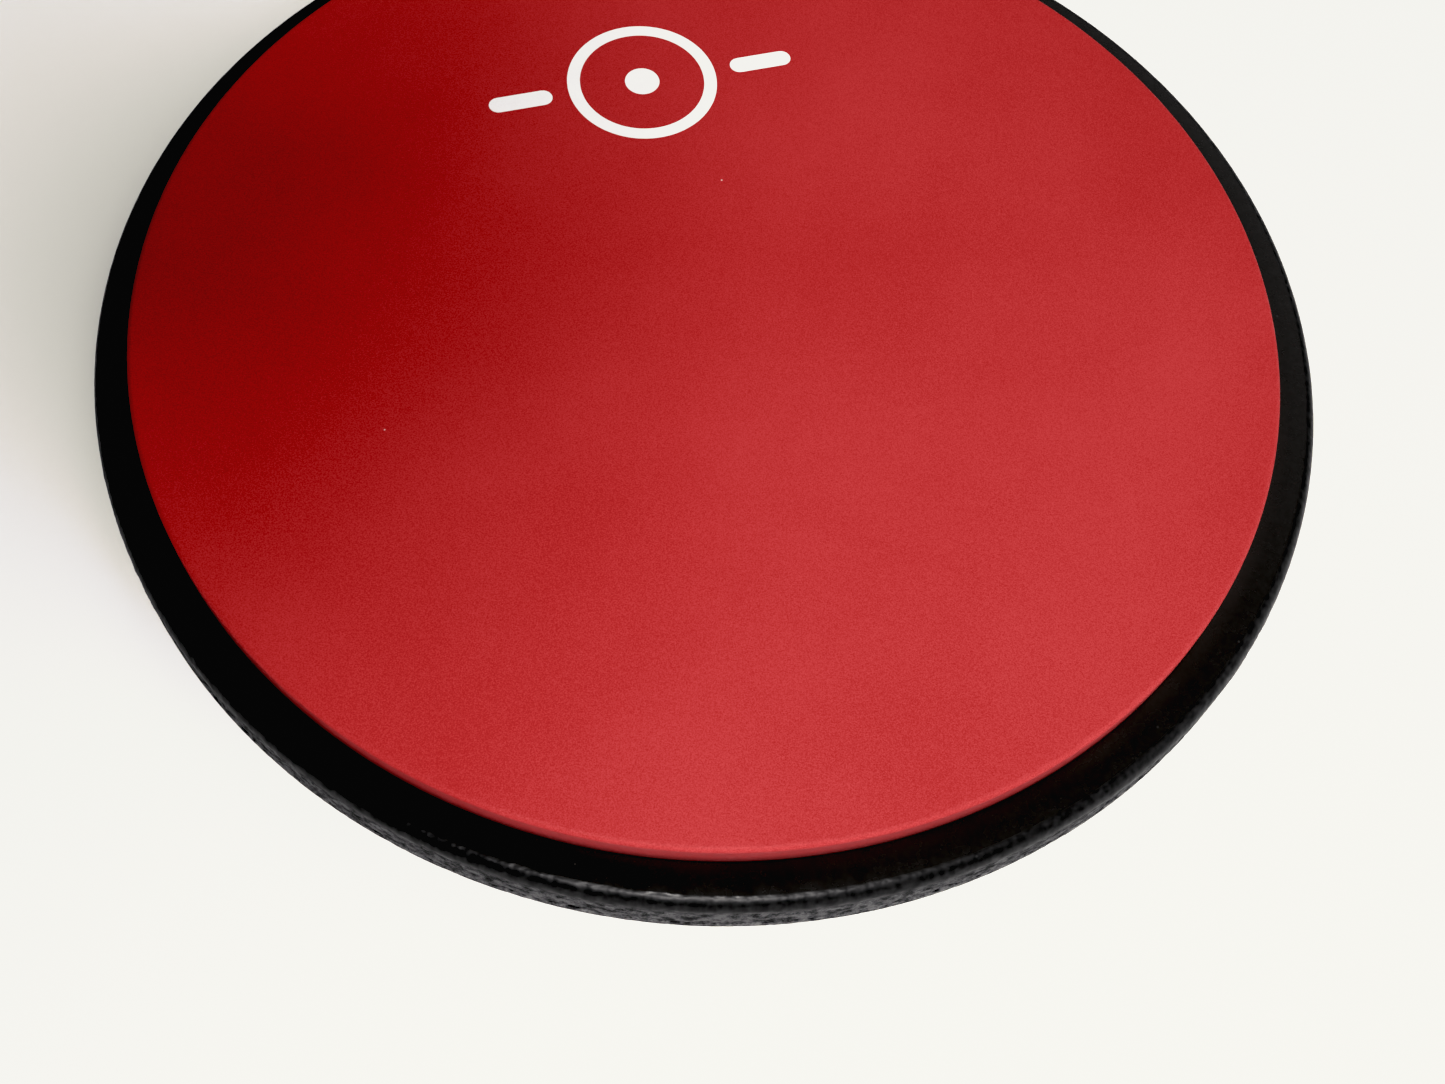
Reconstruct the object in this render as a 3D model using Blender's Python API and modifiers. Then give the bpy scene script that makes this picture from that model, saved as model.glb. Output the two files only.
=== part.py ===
"""A round drum practice pad, in metres, +Z up, resting on z = 0.

From the bottom up: a black rubber base sheet, a painted board with a rounded top
edge, and a red gum-rubber playing disc. The layers are flat and bonded together,
each with a sheet of adhesive between its neighbours. Nothing on it moves.
"""
import math

import bpy

# Driving dimensions.
PAD_DIAMETER = 0.3048           # 12 in, over the board and the base sheet
BASE_THICKNESS = 0.0026         # rubber sheet on the underside
BOARD_THICKNESS = 0.0095        # 3/8 in fibreboard
BOARD_TOP_RADIUS = 0.0034       # rounding of the board's upper edge
DISC_DIAMETER = 0.2824          # playing disc, leaving a rim of board about 11 mm wide
DISC_THICKNESS = 0.00635        # 1/4 in gum rubber
DISC_TOP_RADIUS = 0.0013        # rounding of the playing disc's upper edge
DISC_OFFSET = (-0.0009, -0.0010)  # the disc is laid on by hand, about a millimetre off centre
ADHESIVE_THICKNESS = 0.0003     # one sheet of double-sided adhesive
ADHESIVE_INSET = 0.0015         # the sheet stops short of the edge of the layer it holds
GAP = 0.0003                    # clearance between neighbouring solids
EDGE_BREAK = 0.0003             # chamfer on edges that are only deburred

# Facets.
TURN_STEPS = 144                # around every disc
ARC_STEPS = 6                   # along each rounded edge

# Heights of the layers, from the surface that the pad rests on.
BASE_ADHESIVE_Z = BASE_THICKNESS + GAP
BOARD_Z = BASE_ADHESIVE_Z + ADHESIVE_THICKNESS + GAP
DISC_ADHESIVE_Z = BOARD_Z + BOARD_THICKNESS + GAP
DISC_Z = DISC_ADHESIVE_Z + ADHESIVE_THICKNESS + GAP

# Colour, roughness and metallic value of each part's own material.
LOOKS = {
    "base_rubber": ((0.045, 0.045, 0.047), 0.85, 0.0),
    "base_adhesive": ((0.62, 0.55, 0.40), 0.45, 0.0),
    "board": ((0.008, 0.008, 0.008), 0.40, 0.0),
    "disc_adhesive": ((0.62, 0.55, 0.40), 0.45, 0.0),
    "playing_disc": ((0.40, 0.012, 0.020), 0.60, 0.0),
}


def clear_scene():
    """Remove whatever the scene holds."""
    for obj in list(bpy.data.objects):
        bpy.data.objects.remove(obj, do_unlink=True)


def make_collection(name):
    """A collection linked to the scene."""
    collection = bpy.data.collections.new(name)
    bpy.context.scene.collection.children.link(collection)
    return collection


def make_material(name):
    """A Principled material with the part's own colour, roughness and metallic value."""
    colour, roughness, metallic = LOOKS[name]
    material = bpy.data.materials.new(name)
    material.use_nodes = True
    shader = material.node_tree.nodes["Principled BSDF"]
    shader.inputs["Base Color"].default_value = (*colour, 1.0)
    shader.inputs["Roughness"].default_value = roughness
    shader.inputs["Metallic"].default_value = metallic
    return material


def rounded_corner(radius, height, rounding):
    """Points of a quarter round from the flat top face down to the outer side."""
    points = []
    for step in range(ARC_STEPS + 1):
        angle = math.radians(90.0 * step / ARC_STEPS)
        x = radius - rounding + rounding * math.sin(angle)
        z = height - rounding + rounding * math.cos(angle)
        points.append((x, z))
    return points


def broken_corner(radius, height):
    """The two points of a small chamfer from the flat top face down to the outer side."""
    return [(radius - EDGE_BREAK, height), (radius, height - EDGE_BREAK)]


def layer_profile(radius, thickness, rounding):
    """Half the section of a flat round layer: axis, top edge, side, bottom edge, axis."""
    if rounding > 0.0:
        top_edge = rounded_corner(radius, thickness, rounding)
    else:
        top_edge = broken_corner(radius, thickness)
    bottom_edge = [(radius, EDGE_BREAK), (radius - EDGE_BREAK, 0.0)]
    return [(0.0, thickness)] + top_edge + bottom_edge + [(0.0, 0.0)]


def film_profile(radius, thickness):
    """Half the section of a thin sheet with square edges."""
    return [(0.0, thickness), (radius, thickness), (radius, 0.0), (0.0, 0.0)]


def turn(collection, name, profile, location):
    """Turn a profile about its own vertical axis into a closed, smooth-shaded layer."""
    mesh = bpy.data.meshes.new(name)
    edges = [(i, i + 1) for i in range(len(profile) - 1)]
    mesh.from_pydata([(x, 0.0, z) for x, z in profile], edges, [])
    obj = bpy.data.objects.new(name, mesh)
    obj.location = location
    mesh.materials.append(make_material(name))
    collection.objects.link(obj)
    screw = obj.modifiers.new("turn", "SCREW")
    screw.axis = "Z"
    screw.steps = TURN_STEPS
    screw.render_steps = TURN_STEPS
    screw.use_merge_vertices = True
    screw.merge_threshold = 0.00001
    screw.use_smooth_shade = True
    return obj


def base_rubber(collection):
    """The non-slip rubber sheet that the pad stands on, as wide as the board."""
    profile = layer_profile(PAD_DIAMETER / 2, BASE_THICKNESS, 0.0)
    return turn(collection, "base_rubber", profile, (0.0, 0.0, 0.0))


def base_adhesive(collection):
    """The adhesive between the base sheet and the board."""
    profile = film_profile(PAD_DIAMETER / 2 - ADHESIVE_INSET, ADHESIVE_THICKNESS)
    return turn(collection, "base_adhesive", profile, (0.0, 0.0, BASE_ADHESIVE_Z))


def board(collection):
    """The painted board, with its upper edge rounded over."""
    profile = layer_profile(PAD_DIAMETER / 2, BOARD_THICKNESS, BOARD_TOP_RADIUS)
    return turn(collection, "board", profile, (0.0, 0.0, BOARD_Z))


def disc_adhesive(collection):
    """The adhesive between the board and the playing disc."""
    profile = film_profile(DISC_DIAMETER / 2 - ADHESIVE_INSET, ADHESIVE_THICKNESS)
    return turn(collection, "disc_adhesive", profile, (*DISC_OFFSET, DISC_ADHESIVE_Z))


def playing_disc(collection):
    """The gum-rubber disc that is struck, with its upper edge rounded over."""
    profile = layer_profile(DISC_DIAMETER / 2, DISC_THICKNESS, DISC_TOP_RADIUS)
    return turn(collection, "playing_disc", profile, (*DISC_OFFSET, DISC_Z))


def main():
    clear_scene()
    collection = make_collection("practice_pad")
    base_rubber(collection)
    base_adhesive(collection)
    board(collection)
    disc_adhesive(collection)
    playing_disc(collection)


main()
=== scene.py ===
"""The looks of the practice pad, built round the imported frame.

Three of the CAD layers are stood for by finer pieces: the red rubber disc, the painted
board with its rough side, and the rubber base sheet. The two sheets of adhesive stay as
the frame holds them and get a material. A plain printed mark replaces the real print.
Everything is in metres in the frame's own axes, +Z up, resting on z = 0.
"""
import math

import bpy
import numpy as np
from mathutils import Matrix, Vector, noise

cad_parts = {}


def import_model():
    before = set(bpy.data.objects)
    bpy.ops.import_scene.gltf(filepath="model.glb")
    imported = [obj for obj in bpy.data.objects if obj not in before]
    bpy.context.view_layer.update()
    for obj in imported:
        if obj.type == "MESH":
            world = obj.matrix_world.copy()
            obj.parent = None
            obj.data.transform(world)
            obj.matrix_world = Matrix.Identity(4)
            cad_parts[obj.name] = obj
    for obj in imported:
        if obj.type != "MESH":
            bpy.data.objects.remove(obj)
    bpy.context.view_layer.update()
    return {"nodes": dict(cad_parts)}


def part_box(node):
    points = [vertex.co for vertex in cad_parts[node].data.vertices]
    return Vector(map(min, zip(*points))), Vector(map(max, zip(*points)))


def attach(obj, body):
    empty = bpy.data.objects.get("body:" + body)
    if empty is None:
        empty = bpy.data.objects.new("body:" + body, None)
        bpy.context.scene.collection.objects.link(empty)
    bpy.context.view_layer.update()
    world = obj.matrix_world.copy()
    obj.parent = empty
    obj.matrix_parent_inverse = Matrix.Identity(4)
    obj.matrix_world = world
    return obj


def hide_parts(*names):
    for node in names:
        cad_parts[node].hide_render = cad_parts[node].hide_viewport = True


MM = 0.001

# Playing disc.
DISC_STEPS = 1440               # around the disc
DISC_ROW = 0.45 * MM            # height of one row of faces on its side
DISC_ROUNDING = 1.3 * MM        # upper edge
DISC_ARC_STEPS = 10
DISC_CHAMFER = 0.2 * MM         # height of the chamfer at the lower edge
DISC_TAPER = 0.10 * MM          # how far the side leans in towards the top
DISC_FOOT = 0.1 * MM            # clearance between the disc's lower edge and the board
DISC_WAVE = 0.03 * MM           # long unevenness of the cut side
DISC_WAVE_LENGTH = 26.0 * MM
DISC_NICKS = 0.02 * MM          # short unevenness of the cut side
DISC_NICK_LENGTH = 2.0 * MM

# Board.
BOARD_STEPS = 1800
BOARD_ROUNDING = 3.4 * MM       # how far in from the side the upper edge starts to round over
BOARD_SHOULDER = 4.6 * MM       # how far down the rounding goes
BOARD_ARC_STEPS = 16
PAINT_DEPTH = 3.4 * MM          # how far down the paint covers the side
EDGE_RIPPLE = 0.045 * MM        # unevenness of the rounded edge under the paint
EDGE_RIPPLE_LENGTH = 2.6 * MM
EDGE_STEEP = 1.2 * MM           # this near the side, the unevenness goes inwards and not down
WALL_ROW = 0.32 * MM            # height of one row of faces on the rough side
WALL_ROUGHNESS = 0.55 * MM      # depth of the roughest hollows of the side
WALL_SQUASH = 1.3               # the hollows are this much longer than they are high
WALL_COARSE_LENGTH = 3.2 * MM
WALL_FINE_LENGTH = 1.2 * MM
WALL_CHIP_LENGTH = 6.5 * MM
WALL_FADE = 1.2 * MM            # height over which the hollows fade out, halfway at the paint's edge

# Base sheet.
BASE_STEPS = 1440
BASE_ROW = 0.33 * MM
BASE_CUT_BAND = 0.2 * MM        # only points this near the side are cut in by its roughness
BASE_UNDERCUT = 0.08 * MM       # how far in from the side the lower face ends
BASE_ROUGHNESS = 0.35 * MM
BASE_SQUASH = 1.6
BASE_COARSE_LENGTH = 2.4 * MM
BASE_FINE_LENGTH = 0.9 * MM

# Hollow undersides and lower edges.
RECESS_MARGIN = 1.1 * MM        # solid lip outside the hollow that takes the adhesive
BOARD_FOOT = 0.05 * MM          # clearance between the board's lower edge and the base sheet
FOOT_CHAMFER = 0.15 * MM

# Printed mark: a ring with a dot in it and a bar on either side.
MARK_DISTANCE = 72.0 * MM       # from the disc's centre
MARK_BEARING = 113.0            # degrees from +X
MARK_TURN = 23.0                # degrees, the mark's own level line from +X
MARK_RING_RADIUS = 20.0 * MM
MARK_RING_POINTS = 160
MARK_LINE = 3.4 * MM
MARK_DOT_RADIUS = 4.6 * MM
MARK_DOT_POINTS = 64
MARK_BAR_LENGTH = 17.0 * MM
MARK_BAR_WIDTH = 5.1 * MM
MARK_BAR_GAP = 4.5 * MM
INK_THICKNESS = 0.03 * MM

SHARP_DEGREES = 40.0            # edges sharper than this aren't shaded smooth

# Camera, as a hand-held phone over the near edge.
CAMERA_ELEVATION = 61.98        # degrees above the horizon
CAMERA_ROLL = 7.89              # degrees
CAMERA_DISTANCE = 355.0 * MM    # from the lens to the aim point
CAMERA_AIM = (9.1 * MM, -69.5 * MM)   # on the disc's top face
LENS_MM = 39.02
SENSOR_MM = 36.0

# Light.
TABLE_REACH = 6.0               # from the middle of the tabletop to each side
KEY_PLACE = (0.060, -0.416, 0.600)
KEY_SIZE = 0.196                # across the round softbox
KEY_POWER = 4.60
SUN_STRENGTH = 1.41             # the same light's share that doesn't fall off with distance
CARD_HEIGHT = 0.365
CARD_SHADOW = (-0.116, 0.0095)  # middle of the card's shadow on the pad
CARD_SIZE = (0.155, 0.195)
CARD_TURN = -23.9               # degrees
SOFTBOXES = (                   # bearing, height, width, depth and power of each weak softbox
    (-6.0, 27.0, 1.2, 0.8, 4.2),
    (80.0, 42.0, 2.2, 1.1, 3.2),
)
SOFTBOX_DISTANCE = 1.8
DOME_BEARING = -12.0            # degrees from +X, the middle of the dome's bright half
DOME_EDGE = (-0.22, 0.12)       # from dark to bright, as the cosine of the angle from there
DOME_DARK = 0.18
DOME_BRIGHT = 0.85
BACKDROP_COLOUR = (1.0, 1.0, 0.995, 1.0)
BACKDROP_LEVEL = 0.9

# Film: the light that reads as black and as white, one tone curve for all three colours,
# and two curves that warm the greys by taking a little green and more blue out of them.
FILM_BLACK = 0.065
FILM_WHITE = 2.065
TONE_START = 0.0016
TONE_CURVE = ((0.03, 0.045), (0.15, 0.32), (0.30, 0.61), (0.45, 0.86), (0.62, 0.905), (1.0, 0.93))
GREEN_CURVE = ((0.30, 0.288), (0.62, 0.585), (1.0, 0.90))
BLUE_CURVE = ((0.10, 0.095), (0.30, 0.260), (0.44, 0.405), (0.62, 0.452), (1.0, 0.475))


# ---------------------------------------------------------------- node helpers


class Nodes:
    """Short ways to add nodes to one material."""

    def __init__(self, name):
        self.material = bpy.data.materials.new(name)
        self.material.use_nodes = True
        self.tree = self.material.node_tree
        self.shader = self.tree.nodes["Principled BSDF"]
        self.where = self.add("ShaderNodeTexCoord").outputs["Object"]

    def add(self, kind, **values):
        node = self.tree.nodes.new(kind)
        for key, value in values.items():
            setattr(node, key, value)
        return node

    def link(self, source, target):
        self.tree.links.new(source, target)

    def feed(self, socket, value):
        """Link an output into a socket, or set a plain number or colour on it."""
        if isinstance(value, bpy.types.NodeSocket):
            self.link(value, socket)
        else:
            socket.default_value = value

    def noise(self, scale, detail=3.0, rough=0.55, stretch=None):
        node = self.add("ShaderNodeTexNoise")
        node.inputs["Scale"].default_value = scale
        node.inputs["Detail"].default_value = detail
        node.inputs["Roughness"].default_value = rough
        self.link(self.stretched(stretch), node.inputs["Vector"])
        return node.outputs["Fac"]

    def stretched(self, stretch):
        """The place of each point, scaled along the three axes if that is asked for."""
        if stretch is None:
            return self.where
        node = self.add("ShaderNodeMapping")
        node.inputs["Scale"].default_value = stretch
        self.link(self.where, node.inputs["Vector"])
        return node.outputs["Vector"]

    def cells(self, scale):
        """Distance to the nearest of many scattered points."""
        node = self.add("ShaderNodeTexVoronoi")
        node.inputs["Scale"].default_value = scale
        self.link(self.where, node.inputs["Vector"])
        return node.outputs["Distance"]

    def span(self, value, low, high, to_low=0.0, to_high=1.0):
        """Map low..high to to_low..to_high, held at both ends."""
        node = self.add("ShaderNodeMapRange")
        node.inputs["From Min"].default_value = low
        node.inputs["From Max"].default_value = high
        node.inputs["To Min"].default_value = to_low
        node.inputs["To Max"].default_value = to_high
        self.link(value, node.inputs["Value"])
        return node.outputs["Result"]

    def math(self, operation, a, b):
        node = self.add("ShaderNodeMath", operation=operation)
        self.feed(node.inputs[0], a)
        self.feed(node.inputs[1], b)
        return node.outputs["Value"]

    def scaled(self, value, factor):
        return self.math("MULTIPLY", value, factor)

    def mix(self, factor, a, b):
        """Colour a where factor is 0, and b where it is 1."""
        node = self.add("ShaderNodeMix", data_type="RGBA")
        self.feed(node.inputs["Factor"], factor)
        self.feed(node.inputs[6], a)
        self.feed(node.inputs[7], b)
        return node.outputs[2]

    def height(self):
        """Z above the surface that the pad rests on."""
        node = self.add("ShaderNodeSeparateXYZ")
        self.link(self.where, node.inputs["Vector"])
        return node.outputs["Z"]

    def reach(self, centre):
        """Distance from the upright line through a point."""
        flat = self.add("ShaderNodeVectorMath", operation="MULTIPLY")
        flat.inputs[1].default_value = (1.0, 1.0, 0.0)
        self.link(self.where, flat.inputs[0])
        node = self.add("ShaderNodeVectorMath", operation="DISTANCE")
        node.inputs[1].default_value = (*centre, 0.0)
        self.link(flat.outputs["Vector"], node.inputs[0])
        return node.outputs["Value"]

    def bump(self, value, distance, strength, below=None):
        node = self.add("ShaderNodeBump")
        node.inputs["Strength"].default_value = strength
        node.inputs["Distance"].default_value = distance
        self.link(value, node.inputs["Height"])
        if below is not None:
            self.link(below, node.inputs["Normal"])
        return node.outputs["Normal"]

    def finish(self, colour, roughness, normal=None, **plain):
        """Link what varies, and set what is the same all over on the shader itself."""
        self.feed(self.shader.inputs["Base Color"], colour)
        self.feed(self.shader.inputs["Roughness"], roughness)
        if normal is not None:
            self.link(normal, self.shader.inputs["Normal"])
        for name, value in plain.items():
            self.shader.inputs[name.replace("_", " ")].default_value = value
        return self.material


def rgb(r, g, b):
    return (r, g, b, 1.0)


def grey(level):
    return rgb(level, level, level)


# ------------------------------------------------------------------- materials


def red_rubber(top, foot):
    """Matte gum rubber: fine grain, a dusty side with painted shade that deepens at its foot, a few
    pale specks.
    """
    n = Nodes("red_gum_rubber")
    tone = n.math("ADD", n.scaled(n.noise(14.0, 3.0), 0.4), n.noise(3300.0, 1.0, 0.6))
    tone = n.span(tone, 0.52, 0.88)
    colour = n.mix(tone, rgb(0.283, 0.0462, 0.0468), rgb(0.380, 0.0723, 0.0736))
    # the side is dusty rubber, and its darker red is painted shade on the upright face
    side = n.span(n.height(), top - 1.6 * MM, top - 0.8 * MM, 1.0, 0.0)
    side = n.math("MULTIPLY", side, n.span(n.noise(600.0, 4.0), 0.3, 0.7, 0.6, 1.0))
    colour = n.mix(side, colour, rgb(0.26, 0.080, 0.082))
    # painted contact shadow: the disc's side is darker towards its foot, where it meets the board
    painted_foot_shade = n.span(n.height(), foot, foot + 3.4 * MM, 0.80, 0.0)
    colour = n.mix(painted_foot_shade, colour, rgb(0.075, 0.050, 0.050))
    speck = n.span(n.cells(42.0), 0.010, 0.014, 1.0, 0.0)
    colour = n.mix(n.scaled(speck, 0.6), colour, rgb(0.8, 0.62, 0.6))
    roughness = n.span(n.noise(260.0, 4.0), 0.3, 0.7, 0.58, 0.66)
    normal = n.bump(n.noise(2800.0, 2.0), 0.12 * MM, 0.7)
    normal = n.bump(n.noise(30.0, 2.0), 0.25 * MM, 0.3, normal)
    return n.finish(colour, roughness, normal, IOR=1.5, Specular_IOR_Level=0.2)


def paint_colour(n, edge, centre, disc_radius):
    """Even black on the flat rim, a little lighter along the foot of the disc, streaked on the edge.
    """
    even = n.span(n.noise(900.0, 3.0), 0.35, 0.65)
    flat = n.mix(even, rgb(0.0222, 0.0217, 0.0208), rgb(0.0248, 0.0243, 0.0234))
    near = n.span(n.reach(centre), disc_radius + 0.5 * MM, disc_radius + 4.5 * MM, 1.0, 0.0)
    near = n.math("MULTIPLY", near, n.span(n.noise(45.0, 3.0), 0.35, 0.62, 0.35, 1.0))
    flat = n.mix(near, flat, rgb(0.0325, 0.0300, 0.0285))
    streaks = n.span(n.noise(620.0, 2.0, 0.5, (1.0, 1.0, 0.12)), 0.38, 0.62)
    worn = n.mix(streaks, grey(0.010), grey(0.021))
    dust = n.span(n.cells(150.0), 0.03, 0.05, 1.0, 0.0)
    return n.mix(n.scaled(dust, 0.12), n.mix(edge, flat, worn), grey(0.2))


def fibre_colour(n):
    """Speckle of the board's rough side."""
    mottle = n.math("ADD", n.noise(420.0, 2.0, 0.5), n.scaled(n.noise(1700.0, 3.0, 0.65), 0.6))
    return n.mix(n.span(mottle, 0.66, 0.94), grey(0.018), rgb(0.098, 0.098, 0.100))


def board_paint(wall_top, centre, disc_radius):
    """Black satin paint on the rim and the rounded edge, and a rough, fibrous side below it."""
    n = Nodes("black_board_paint")
    drop = n.math("SUBTRACT", wall_top + PAINT_DEPTH, n.height())
    edge = n.span(drop, 0.02 * MM, 0.14 * MM)
    ragged = n.scaled(n.math("SUBTRACT", n.noise(300.0, 4.0), 0.5), 2.6 * MM)
    level = n.math("ADD", n.height(), ragged)
    rough_side = n.span(level, wall_top - 0.75 * MM, wall_top + 0.40 * MM, 1.0, 0.0)
    colour = n.mix(rough_side, paint_colour(n, edge, centre, disc_radius), fibre_colour(n))
    satin = n.span(n.noise(350.0, 3.0), 0.3, 0.7, 0.24, 0.29)
    satin = n.math("ADD", satin, n.scaled(edge, 0.18))
    roughness = n.math("ADD", satin, n.scaled(rough_side, 0.4))
    share = n.math("ADD", n.scaled(rough_side, 0.98), 0.02)
    normal = n.bump(n.math("MULTIPLY", n.noise(1300.0, 4.0, 0.7), share), 0.35 * MM, 0.8)
    beads = n.math("MULTIPLY", n.math("SUBTRACT", n.noise(420.0, 1.0), 0.5), edge)
    normal = n.bump(beads, 0.22 * MM, 0.9, normal)
    return n.finish(colour, roughness, normal, IOR=1.5, Specular_IOR_Level=0.4)


def base_rubber_material():
    """Dull black rubber with a cut side that has picked up dust."""
    n = Nodes("black_base_rubber")
    mottle = n.math("ADD", n.noise(450.0, 2.0, 0.5), n.scaled(n.noise(1800.0, 3.0), 0.5))
    colour = n.mix(n.span(mottle, 0.58, 0.92), grey(0.012), rgb(0.12, 0.12, 0.122))
    roughness = n.span(n.noise(600.0, 3.0), 0.3, 0.7, 0.72, 0.88)
    normal = n.bump(n.noise(1400.0, 4.0, 0.7), 0.25 * MM, 0.8)
    return n.finish(colour, roughness, normal, IOR=1.48)


def adhesive_material():
    """Amber film adhesive."""
    n = Nodes("amber_adhesive")
    tone = n.span(n.noise(120.0, 4.0), 0.3, 0.7)
    colour = n.mix(tone, rgb(0.58, 0.50, 0.34), rgb(0.66, 0.59, 0.44))
    roughness = n.span(n.noise(300.0, 3.0), 0.3, 0.7, 0.38, 0.52)
    return n.finish(colour, roughness, n.bump(n.noise(500.0, 3.0), 0.05 * MM, 0.5), IOR=1.47)


def ink_material():
    """Matte white screen print, a little uneven."""
    n = Nodes("white_print_ink")
    tone = n.span(n.math("ADD", n.noise(180.0, 4.0), n.noise(2200.0, 2.0)), 0.7, 1.3)
    colour = n.mix(tone, rgb(0.80, 0.79, 0.79), grey(0.86))
    roughness = n.span(n.noise(500.0, 3.0), 0.3, 0.7, 0.50, 0.62)
    return n.finish(colour, roughness, n.bump(n.noise(2400.0, 2.0), 0.04 * MM, 0.5), IOR=1.5)


def floor_material():
    """Plain pale tabletop."""
    n = Nodes("pale_tabletop")
    tone = n.span(n.noise(3.0, 2.0), 0.3, 0.7)
    colour = n.mix(tone, rgb(0.92, 0.92, 0.915), rgb(0.935, 0.935, 0.93))
    return n.finish(colour, 0.6, IOR=1.4)


# ---------------------------------------------------------------------- meshes


def arc(radius, top, rounding, drop, steps):
    """Points from a flat top face down to an upright side: a quarter of an ellipse."""
    points = []
    for i in range(steps + 1):
        t = 0.5 * math.pi * i / steps
        points.append((radius - rounding + rounding * math.sin(t), top - drop + drop * math.cos(t)))
    return points


def rows(high, low, step):
    """Heights between two levels, both left out, about one step apart."""
    count = max(1, round((high - low) / step))
    return [high + (low - high) * i / count for i in range(1, count)]


def hollow_foot(radius, foot, start, recess):
    """The lower end of a profile: a small chamfer, a lip, and the hollow for the adhesive."""
    lip = radius - RECESS_MARGIN
    edge = [(radius, start), (radius - FOOT_CHAMFER, foot), (lip, foot)]
    return edge + [(lip, recess), (radius * 0.5, recess), (0.0, recess)]


def turned_points(profile, steps, centre, shift):
    """Every point of a turned piece: the upper pole, the rings going down, the lower pole."""
    angles = np.linspace(0.0, 2.0 * math.pi, steps, endpoint=False)
    cos_sin = np.stack([np.cos(angles), np.sin(angles)], 1)
    points = [(*centre, profile[0][1])]
    for r, z in profile[1:-1]:
        for c, s in cos_sin:
            out, up = shift(c, s, z, r)
            points.append((centre[0] + (r + out) * c, centre[1] + (r + out) * s, z + up))
    points.append((*centre, profile[-1][1]))
    return points


def turned_faces(ring_count, steps):
    """A fan at each pole, and quads between the rings."""
    faces = []
    last = 1 + ring_count * steps
    for i in range(steps):
        j = (i + 1) % steps
        faces.append((0, 1 + i, 1 + j))
        for k in range(ring_count - 1):
            a = 1 + k * steps
            b = a + steps
            faces.append((a + i, b + i, b + j, a + j))
        a = last - steps
        faces.append((a + j, a + i, last))
    return faces


def turned_piece(name, profile, steps, centre, shift):
    """A closed piece turned from a half section that starts and ends on the axis.

    shift(c, s, z, r) gives how far the point at height z and radius r, in the direction
    whose cosine and sine are c and s, moves outwards and up.
    """
    points = turned_points(profile, steps, centre, shift)
    return make_piece(name, points, turned_faces(len(profile) - 2, steps))


def make_piece(name, points, faces):
    mesh = bpy.data.meshes.new(name)
    mesh.from_pydata(points, [], faces)
    mesh.validate()
    mesh.shade_smooth()
    mesh.set_sharp_from_angle(angle=math.radians(SHARP_DEGREES))
    piece = bpy.data.objects.new(name, mesh)
    bpy.context.scene.collection.objects.link(piece)
    return piece


def waver(c, s, z, r, size, offset):
    """Smooth noise of about that size over the surface, -1 to 1, different for each offset."""
    return noise.noise(Vector((c * r / size, s * r / size, z / size + offset)))


def rubber_disc(low, high, board_top):
    """The playing disc, with a soft upper edge and a hollow underside over its adhesive."""
    centre = ((low.x + high.x) / 2, (low.y + high.y) / 2)
    radius = (high.x - low.x) / 2
    top = high.z - INK_THICKNESS
    foot = board_top + DISC_FOOT
    side_end = foot + DISC_CHAMFER

    def shift(c, s, z, r):
        if r < radius - DISC_ROUNDING:
            return 0.0, 0.0
        lean = -DISC_TAPER * max(0.0, z - foot) / (top - foot)
        wave = DISC_WAVE * (waver(c, s, z, r, DISC_WAVE_LENGTH, 3.0) - 1.0)
        nicks = DISC_NICKS * (waver(c, s, z, r, DISC_NICK_LENGTH, 9.0) - 1.0)
        return lean + wave + nicks, 0.0

    profile = [(0.0, top)] + [(radius * f, top) for f in (0.2, 0.4, 0.6, 0.8, 0.93, 0.98)]
    profile += arc(radius, top, DISC_ROUNDING, DISC_ROUNDING, DISC_ARC_STEPS)
    profile += [(radius, z) for z in rows(top - DISC_ROUNDING, side_end, DISC_ROW)]
    profile += hollow_foot(radius, foot, side_end, low.z)
    return turned_piece("red_rubber_disc", profile, DISC_STEPS, centre, shift)


def board_hollow(c, s, z, r, wall_top):
    """Depth of the rough side's hollows and chips, which fade out where the paint starts."""
    coarse = waver(c, s, z * WALL_SQUASH, r, WALL_COARSE_LENGTH, 1.0)
    fine = waver(c, s, z * WALL_SQUASH, r, WALL_FINE_LENGTH, 7.0)
    chips = max(0.0, waver(c, s, z, r, WALL_CHIP_LENGTH, 15.0) - 0.35) * 1.3
    fade = min(1.0, max(0.0, (wall_top + WALL_FADE / 2 - z) / WALL_FADE))
    return max(0.0, WALL_ROUGHNESS * fade * (0.20 - 0.30 * coarse - 0.28 * fine + chips))


def painted_board(low, high, base_top):
    """The board: a flat painted top, a rounded edge, and a rough side."""
    radius = (high.x - low.x) / 2
    top = high.z
    foot = base_top + BOARD_FOOT
    side_end = foot + FOOT_CHAMFER
    wall_top = top - PAINT_DEPTH

    def shift(c, s, z, r):
        if r < radius - BOARD_ROUNDING + 0.01 * MM:
            return 0.0, 0.0
        ripple = EDGE_RIPPLE * (waver(c, s, z, r, EDGE_RIPPLE_LENGTH, 5.0) - 1.0)
        if r < radius - EDGE_STEEP:
            return 0.0, ripple
        return ripple - board_hollow(c, s, z, r, wall_top), 0.0

    profile = [(0.0, top)] + [(radius * f, top) for f in (0.25, 0.5, 0.75, 0.9, 0.94)]
    profile += arc(radius, top, BOARD_ROUNDING, BOARD_SHOULDER, BOARD_ARC_STEPS)
    profile += [(radius, z) for z in rows(top - BOARD_SHOULDER, side_end, WALL_ROW)]
    profile += hollow_foot(radius, foot, side_end, low.z)
    return turned_piece("painted_board", profile, BOARD_STEPS, (0.0, 0.0), shift), wall_top


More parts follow.
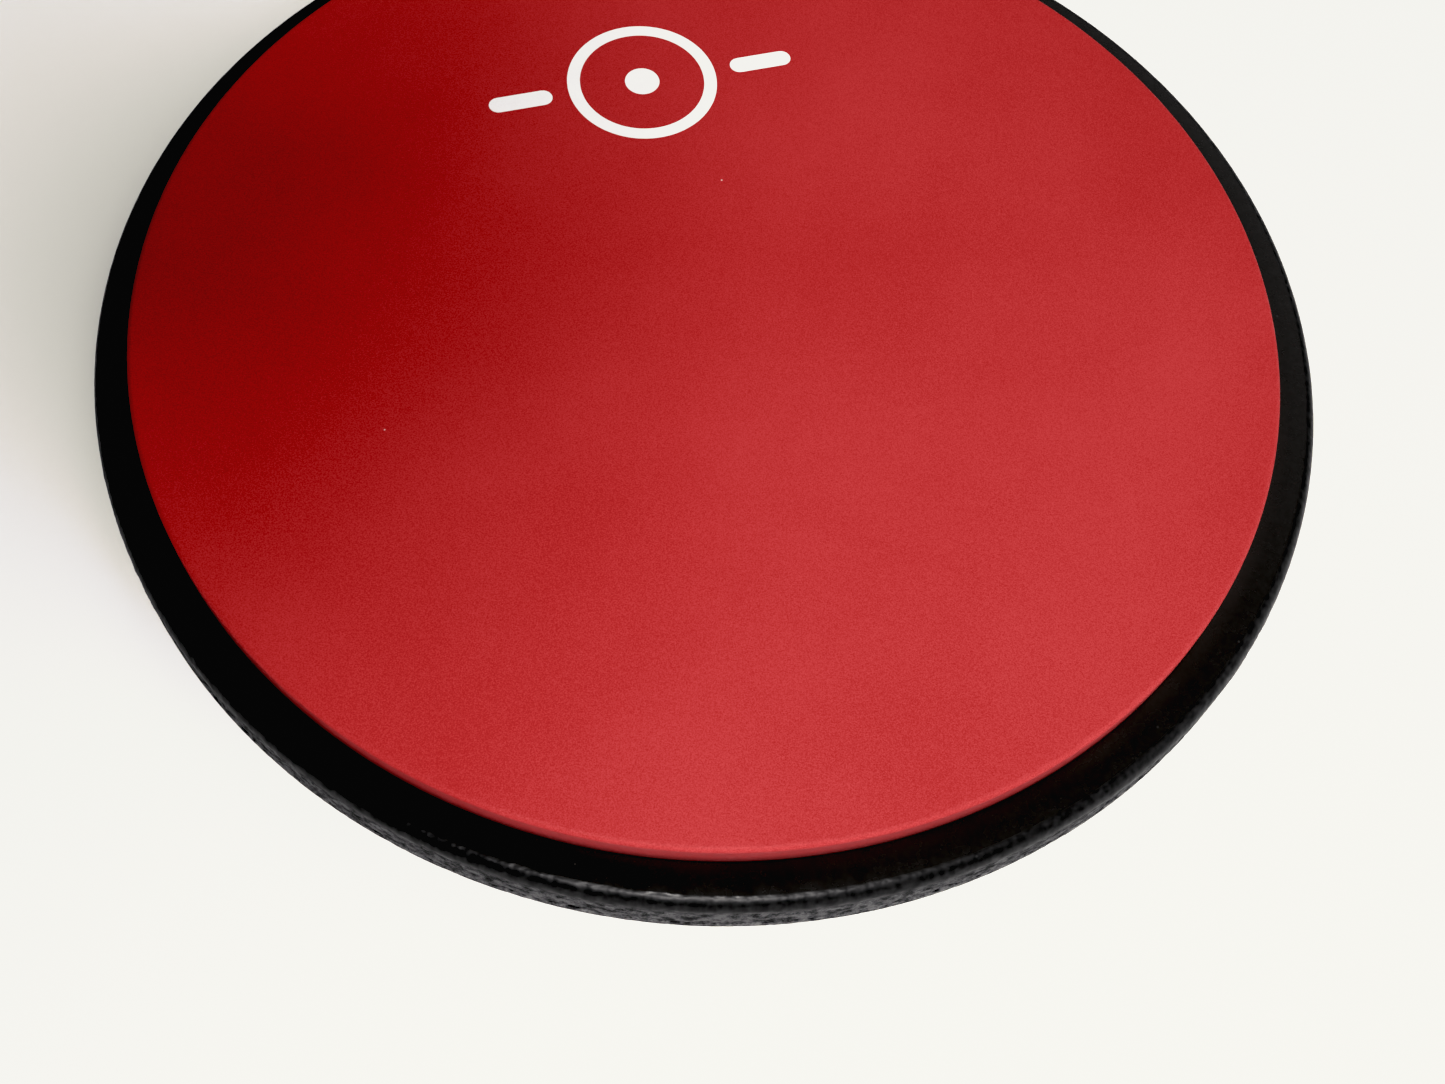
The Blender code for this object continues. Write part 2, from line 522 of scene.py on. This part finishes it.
def base_sheet(low, high):
    """The non-slip sheet, with a cut side."""
    radius = (high.x - low.x) / 2

    def shift(c, s, z, r):
        if r < radius - BASE_CUT_BAND:
            return 0.0, 0.0
        coarse = waver(c, s, z * BASE_SQUASH, r, BASE_COARSE_LENGTH, 31.0)
        fine = waver(c, s, z, r, BASE_FINE_LENGTH, 37.0)
        return -BASE_ROUGHNESS * max(0.0, 0.05 - 0.35 * coarse - 0.25 * fine), 0.0

    profile = [(0.0, high.z), (radius * 0.5, high.z), (radius * 0.98, high.z)]
    profile += [(radius - FOOT_CHAMFER, high.z)]
    profile += [(radius, z) for z in rows(high.z, low.z, BASE_ROW)]
    profile += [(radius - BASE_UNDERCUT, low.z), (radius * 0.98, low.z)]
    profile += [(radius * 0.5, low.z), (0.0, low.z)]
    return turned_piece("rubber_base_sheet", profile, BASE_STEPS, (0.0, 0.0), shift)


class Film:
    """Points and faces of a thin printed film between two heights."""

    def __init__(self, low, high):
        self.heights = (high, low)
        self.points = []
        self.faces = []

    def place(self, outline):
        """Add an outline at both heights, and return where its upper and lower points start."""
        starts = []
        for z in self.heights:
            starts.append(len(self.points))
            self.points.extend((x, y, z) for x, y in outline)
        return starts

    def side(self, top, bottom, count, outward=True):
        for i in range(count):
            j = (i + 1) % count
            face = (top + i, bottom + i, bottom + j, top + j)
            self.faces.append(face if outward else face[::-1])

    def filled(self, outline):
        top, bottom = self.place(outline)
        count = len(outline)
        self.faces.append(tuple(range(top, top + count)))
        self.faces.append(tuple(range(bottom + count - 1, bottom - 1, -1)))
        self.side(top, bottom, count)

    def ring(self, outer, inner):
        """The band between two outlines with as many points each."""
        top_out, low_out = self.place(outer)
        top_in, low_in = self.place(inner)
        count = len(outer)
        self.side(top_out, low_out, count)
        self.side(top_in, low_in, count, outward=False)
        for i in range(count):
            j = (i + 1) % count
            self.faces.append((top_out + i, top_out + j, top_in + j, top_in + i))
            self.faces.append((low_out + j, low_out + i, low_in + i, low_in + j))


def circle_outline(radius, steps):
    points = []
    for i in range(steps):
        t = 2 * math.pi * i / steps
        points.append((radius * math.cos(t), radius * math.sin(t)))
    return points


def bar_outline(middle_x, length, width, steps=10):
    """A bar with round ends, along X."""
    half = length / 2 - width / 2
    points = []
    for end, start in ((1.0, -90.0), (-1.0, 90.0)):
        for i in range(steps + 1):
            t = math.radians(start + 180.0 * i / steps)
            points.append((middle_x + end * half + width / 2 * math.cos(t), width / 2 * math.sin(t)))
    return points


def printed_mark(centre, low, high):
    """The white print, a thin film on the rubber: a ring, a dot and two bars."""
    film = Film(low, high)
    outer = circle_outline(MARK_RING_RADIUS, MARK_RING_POINTS)
    film.ring(outer, circle_outline(MARK_RING_RADIUS - MARK_LINE, MARK_RING_POINTS))
    film.filled(circle_outline(MARK_DOT_RADIUS, MARK_DOT_POINTS))
    reach = MARK_RING_RADIUS + MARK_BAR_GAP + MARK_BAR_LENGTH / 2
    for x in (-reach, reach):
        film.filled(bar_outline(x, MARK_BAR_LENGTH, MARK_BAR_WIDTH))
    middle = Vector((*centre, 0.0)) + direction(MARK_BEARING, 0.0) * MARK_DISTANCE
    turn = Matrix.Translation(middle) @ Matrix.Rotation(math.radians(MARK_TURN), 4, "Z")
    return make_piece("printed_mark", [tuple(turn @ Vector(p)) for p in film.points], film.faces)


# ----------------------------------------------------------------------- stage


def direction(azimuth, elevation):
    """Unit vector towards a point at that bearing from +X and that height, in degrees."""
    a, e = math.radians(azimuth), math.radians(elevation)
    return Vector((math.cos(a) * math.cos(e), math.sin(a) * math.cos(e), math.sin(e)))


def flat_stage_piece(name, corners, material):
    """A single flat face of the stage, which isn't part of the pad."""
    mesh = bpy.data.meshes.new(name)
    mesh.from_pydata(corners, [], [tuple(range(len(corners)))])
    mesh.materials.append(material)
    piece = bpy.data.objects.new(name, mesh)
    bpy.context.scene.collection.objects.link(piece)
    return piece


def tabletop():
    reach = TABLE_REACH
    corners = [(-reach, -reach, 0.0), (reach, -reach, 0.0), (reach, reach, 0.0), (-reach, reach, 0.0)]
    flat_stage_piece("tabletop", corners, floor_material())


def shadow_card():
    """A card above the left of the pad that takes the key light off it softly."""
    towards = Vector(KEY_PLACE).normalized()
    middle = Vector((*CARD_SHADOW, 0.0)) + towards * (CARD_HEIGHT / towards.z)
    turn = Matrix.Rotation(math.radians(CARD_TURN), 4, "Z")
    outline = []
    for t in range(0, 360, 10):
        x = CARD_SIZE[0] / 2 * math.cos(math.radians(t))
        y = CARD_SIZE[1] / 2 * math.sin(math.radians(t))
        outline.append(middle + turn @ Vector((x, y, 0.0)))
    black = Nodes("matte_black_card").finish(grey(0.02), 0.9)
    card = flat_stage_piece("shadow_card", outline, black)
    card.visible_camera = False
    card.visible_glossy = False


def hang_light(lamp, place, towards):
    """Put a lamp at a place, shining back from the direction that it lies in."""
    obj = bpy.data.objects.new(lamp.name, lamp)
    obj.location = place
    obj.rotation_euler = towards.to_track_quat("Z", "Y").to_euler()
    obj.visible_camera = False
    bpy.context.scene.collection.objects.link(obj)
    return obj


def key_light():
    """A round softbox high on the near side, with a wider share that doesn't fall off."""
    towards = Vector(KEY_PLACE).normalized()
    lamp = bpy.data.lights.new("key", "AREA")
    lamp.shape = "DISK"
    lamp.size = KEY_SIZE
    lamp.energy = KEY_POWER
    hang_light(lamp, KEY_PLACE, towards)
    far = bpy.data.lights.new("key_far", "SUN")
    far.angle = 2.0 * math.atan(KEY_SIZE / 2 / Vector(KEY_PLACE).length)
    far.energy = SUN_STRENGTH
    hang_light(far, KEY_PLACE, towards).visible_glossy = False


def weak_softboxes():
    """Broad lights low on the right and behind, which the paint and the rubber reflect faintly."""
    for bearing, height, width, depth, power in SOFTBOXES:
        lamp = bpy.data.lights.new("softbox", "AREA")
        lamp.shape = "RECTANGLE"
        lamp.size = width
        lamp.size_y = depth
        lamp.energy = power
        towards = direction(bearing, height)
        hang_light(lamp, towards * SOFTBOX_DISTANCE, towards)


def dome_level(tree):
    """Strength of the dome in each direction, brighter on one half."""
    where = tree.nodes.new("ShaderNodeTexCoord")
    lean = tree.nodes.new("ShaderNodeVectorMath")
    lean.operation = "DOT_PRODUCT"
    lean.inputs[1].default_value = direction(DOME_BEARING, 0.0)
    level = tree.nodes.new("ShaderNodeMapRange")
    level.interpolation_type = "SMOOTHSTEP"
    level.inputs["From Min"].default_value = DOME_EDGE[0]
    level.inputs["From Max"].default_value = DOME_EDGE[1]
    level.inputs["To Min"].default_value = DOME_DARK
    level.inputs["To Max"].default_value = DOME_BRIGHT
    tree.links.new(where.outputs["Generated"], lean.inputs[0])
    tree.links.new(lean.outputs["Value"], level.inputs["Value"])
    return level.outputs["Result"]


def dome():
    """Soft light from all round, brighter from the right, with a pale backdrop behind the table."""
    world = bpy.data.worlds.new("dome")
    world.use_nodes = True
    tree = world.node_tree
    tree.nodes.clear()
    fill = tree.nodes.new("ShaderNodeBackground")
    backdrop = tree.nodes.new("ShaderNodeBackground")
    backdrop.inputs["Color"].default_value = BACKDROP_COLOUR
    backdrop.inputs["Strength"].default_value = BACKDROP_LEVEL
    seen = tree.nodes.new("ShaderNodeLightPath")
    either = tree.nodes.new("ShaderNodeMixShader")
    out = tree.nodes.new("ShaderNodeOutputWorld")
    tree.links.new(dome_level(tree), fill.inputs["Strength"])
    tree.links.new(seen.outputs["Is Camera Ray"], either.inputs["Fac"])
    tree.links.new(fill.outputs["Background"], either.inputs[1])
    tree.links.new(backdrop.outputs["Background"], either.inputs[2])
    tree.links.new(either.outputs["Shader"], out.inputs["Surface"])
    bpy.context.scene.world = world


def shape_curve(curve, points):
    """Give a new curve its points: its own last point takes the last, and the others are added."""
    curve.points[1].location = points[-1]
    for x, y in points[:-1]:
        curve.points.new(x, y)


def film_response():
    """A phone's tone curve: blacks held down, and highlights that roll off."""
    view = bpy.context.scene.view_settings
    view.view_transform = "Standard"
    view.use_curve_mapping = True
    mapping = view.curve_mapping
    mapping.extend = "HORIZONTAL"
    mapping.black_level = (FILM_BLACK,) * 3
    mapping.white_level = (FILM_WHITE,) * 3
    _, green, blue, combined = mapping.curves
    combined.points[0].location = (0.0, TONE_START)
    shape_curve(combined, TONE_CURVE)
    shape_curve(green, GREEN_CURVE)
    shape_curve(blue, BLUE_CURVE)
    mapping.update()


def camera(top):
    data = bpy.data.cameras.new("camera")
    data.sensor_width = SENSOR_MM
    data.lens = LENS_MM
    data.clip_start = 0.01
    data.clip_end = 50.0
    obj = bpy.data.objects.new("camera", data)
    back = direction(-90.0, CAMERA_ELEVATION)
    right = Vector((1.0, 0.0, 0.0))
    up = back.cross(right)
    roll = math.radians(CAMERA_ROLL)
    x_axis = right * math.cos(roll) + up * math.sin(roll)
    y_axis = up * math.cos(roll) - right * math.sin(roll)
    place = Matrix((x_axis, y_axis, back)).transposed().to_4x4()
    place.translation = Vector((*CAMERA_AIM, top)) + back * CAMERA_DISTANCE
    obj.matrix_world = place
    bpy.context.scene.collection.objects.link(obj)
    bpy.context.scene.camera = obj


# ------------------------------------------------------------------------ main


def dress(piece, material, slot, *replaced):
    """Give a piece its material, its body and the CAD nodes it stands for. The slot is not used."""
    piece.data.materials.clear()
    piece.data.materials.append(material)
    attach(piece, "root")
    if replaced:
        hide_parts(*replaced)


def pad(frame):
    """All the pieces of the pad. Returns the height of its top face."""
    disc_low, disc_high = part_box("playing_disc")
    board_low, board_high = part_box("board")
    base_low, base_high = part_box("base_rubber")
    centre = ((disc_low.x + disc_high.x) / 2, (disc_low.y + disc_high.y) / 2)

    disc = rubber_disc(disc_low, disc_high, board_high.z)
    dress(disc, red_rubber(disc_high.z, board_high.z), "red_rubber", "playing_disc")
    board, wall_top = painted_board(board_low, board_high, base_high.z)
    paint = board_paint(wall_top, centre, (disc_high.x - disc_low.x) / 2)
    dress(board, paint, "black_board", "board")
    sheet = base_sheet(base_low, base_high)
    dress(sheet, base_rubber_material(), "black_rubber", "base_rubber")
    mark = printed_mark(centre, disc_high.z - INK_THICKNESS, disc_high.z)
    dress(mark, ink_material(), "white_ink")
    for name in ("base_adhesive", "disc_adhesive"):
        node = frame["nodes"][name]
        node.data.materials.clear()
        node.data.materials.append(adhesive_material())
    return disc_high.z


def studio(top):
    """The table, the lights, the film and the camera."""
    tabletop()
    key_light()
    weak_softboxes()
    shadow_card()
    dome()
    film_response()
    camera(top)


def main():
    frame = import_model()
    top = pad(frame)
    studio(top)


main()
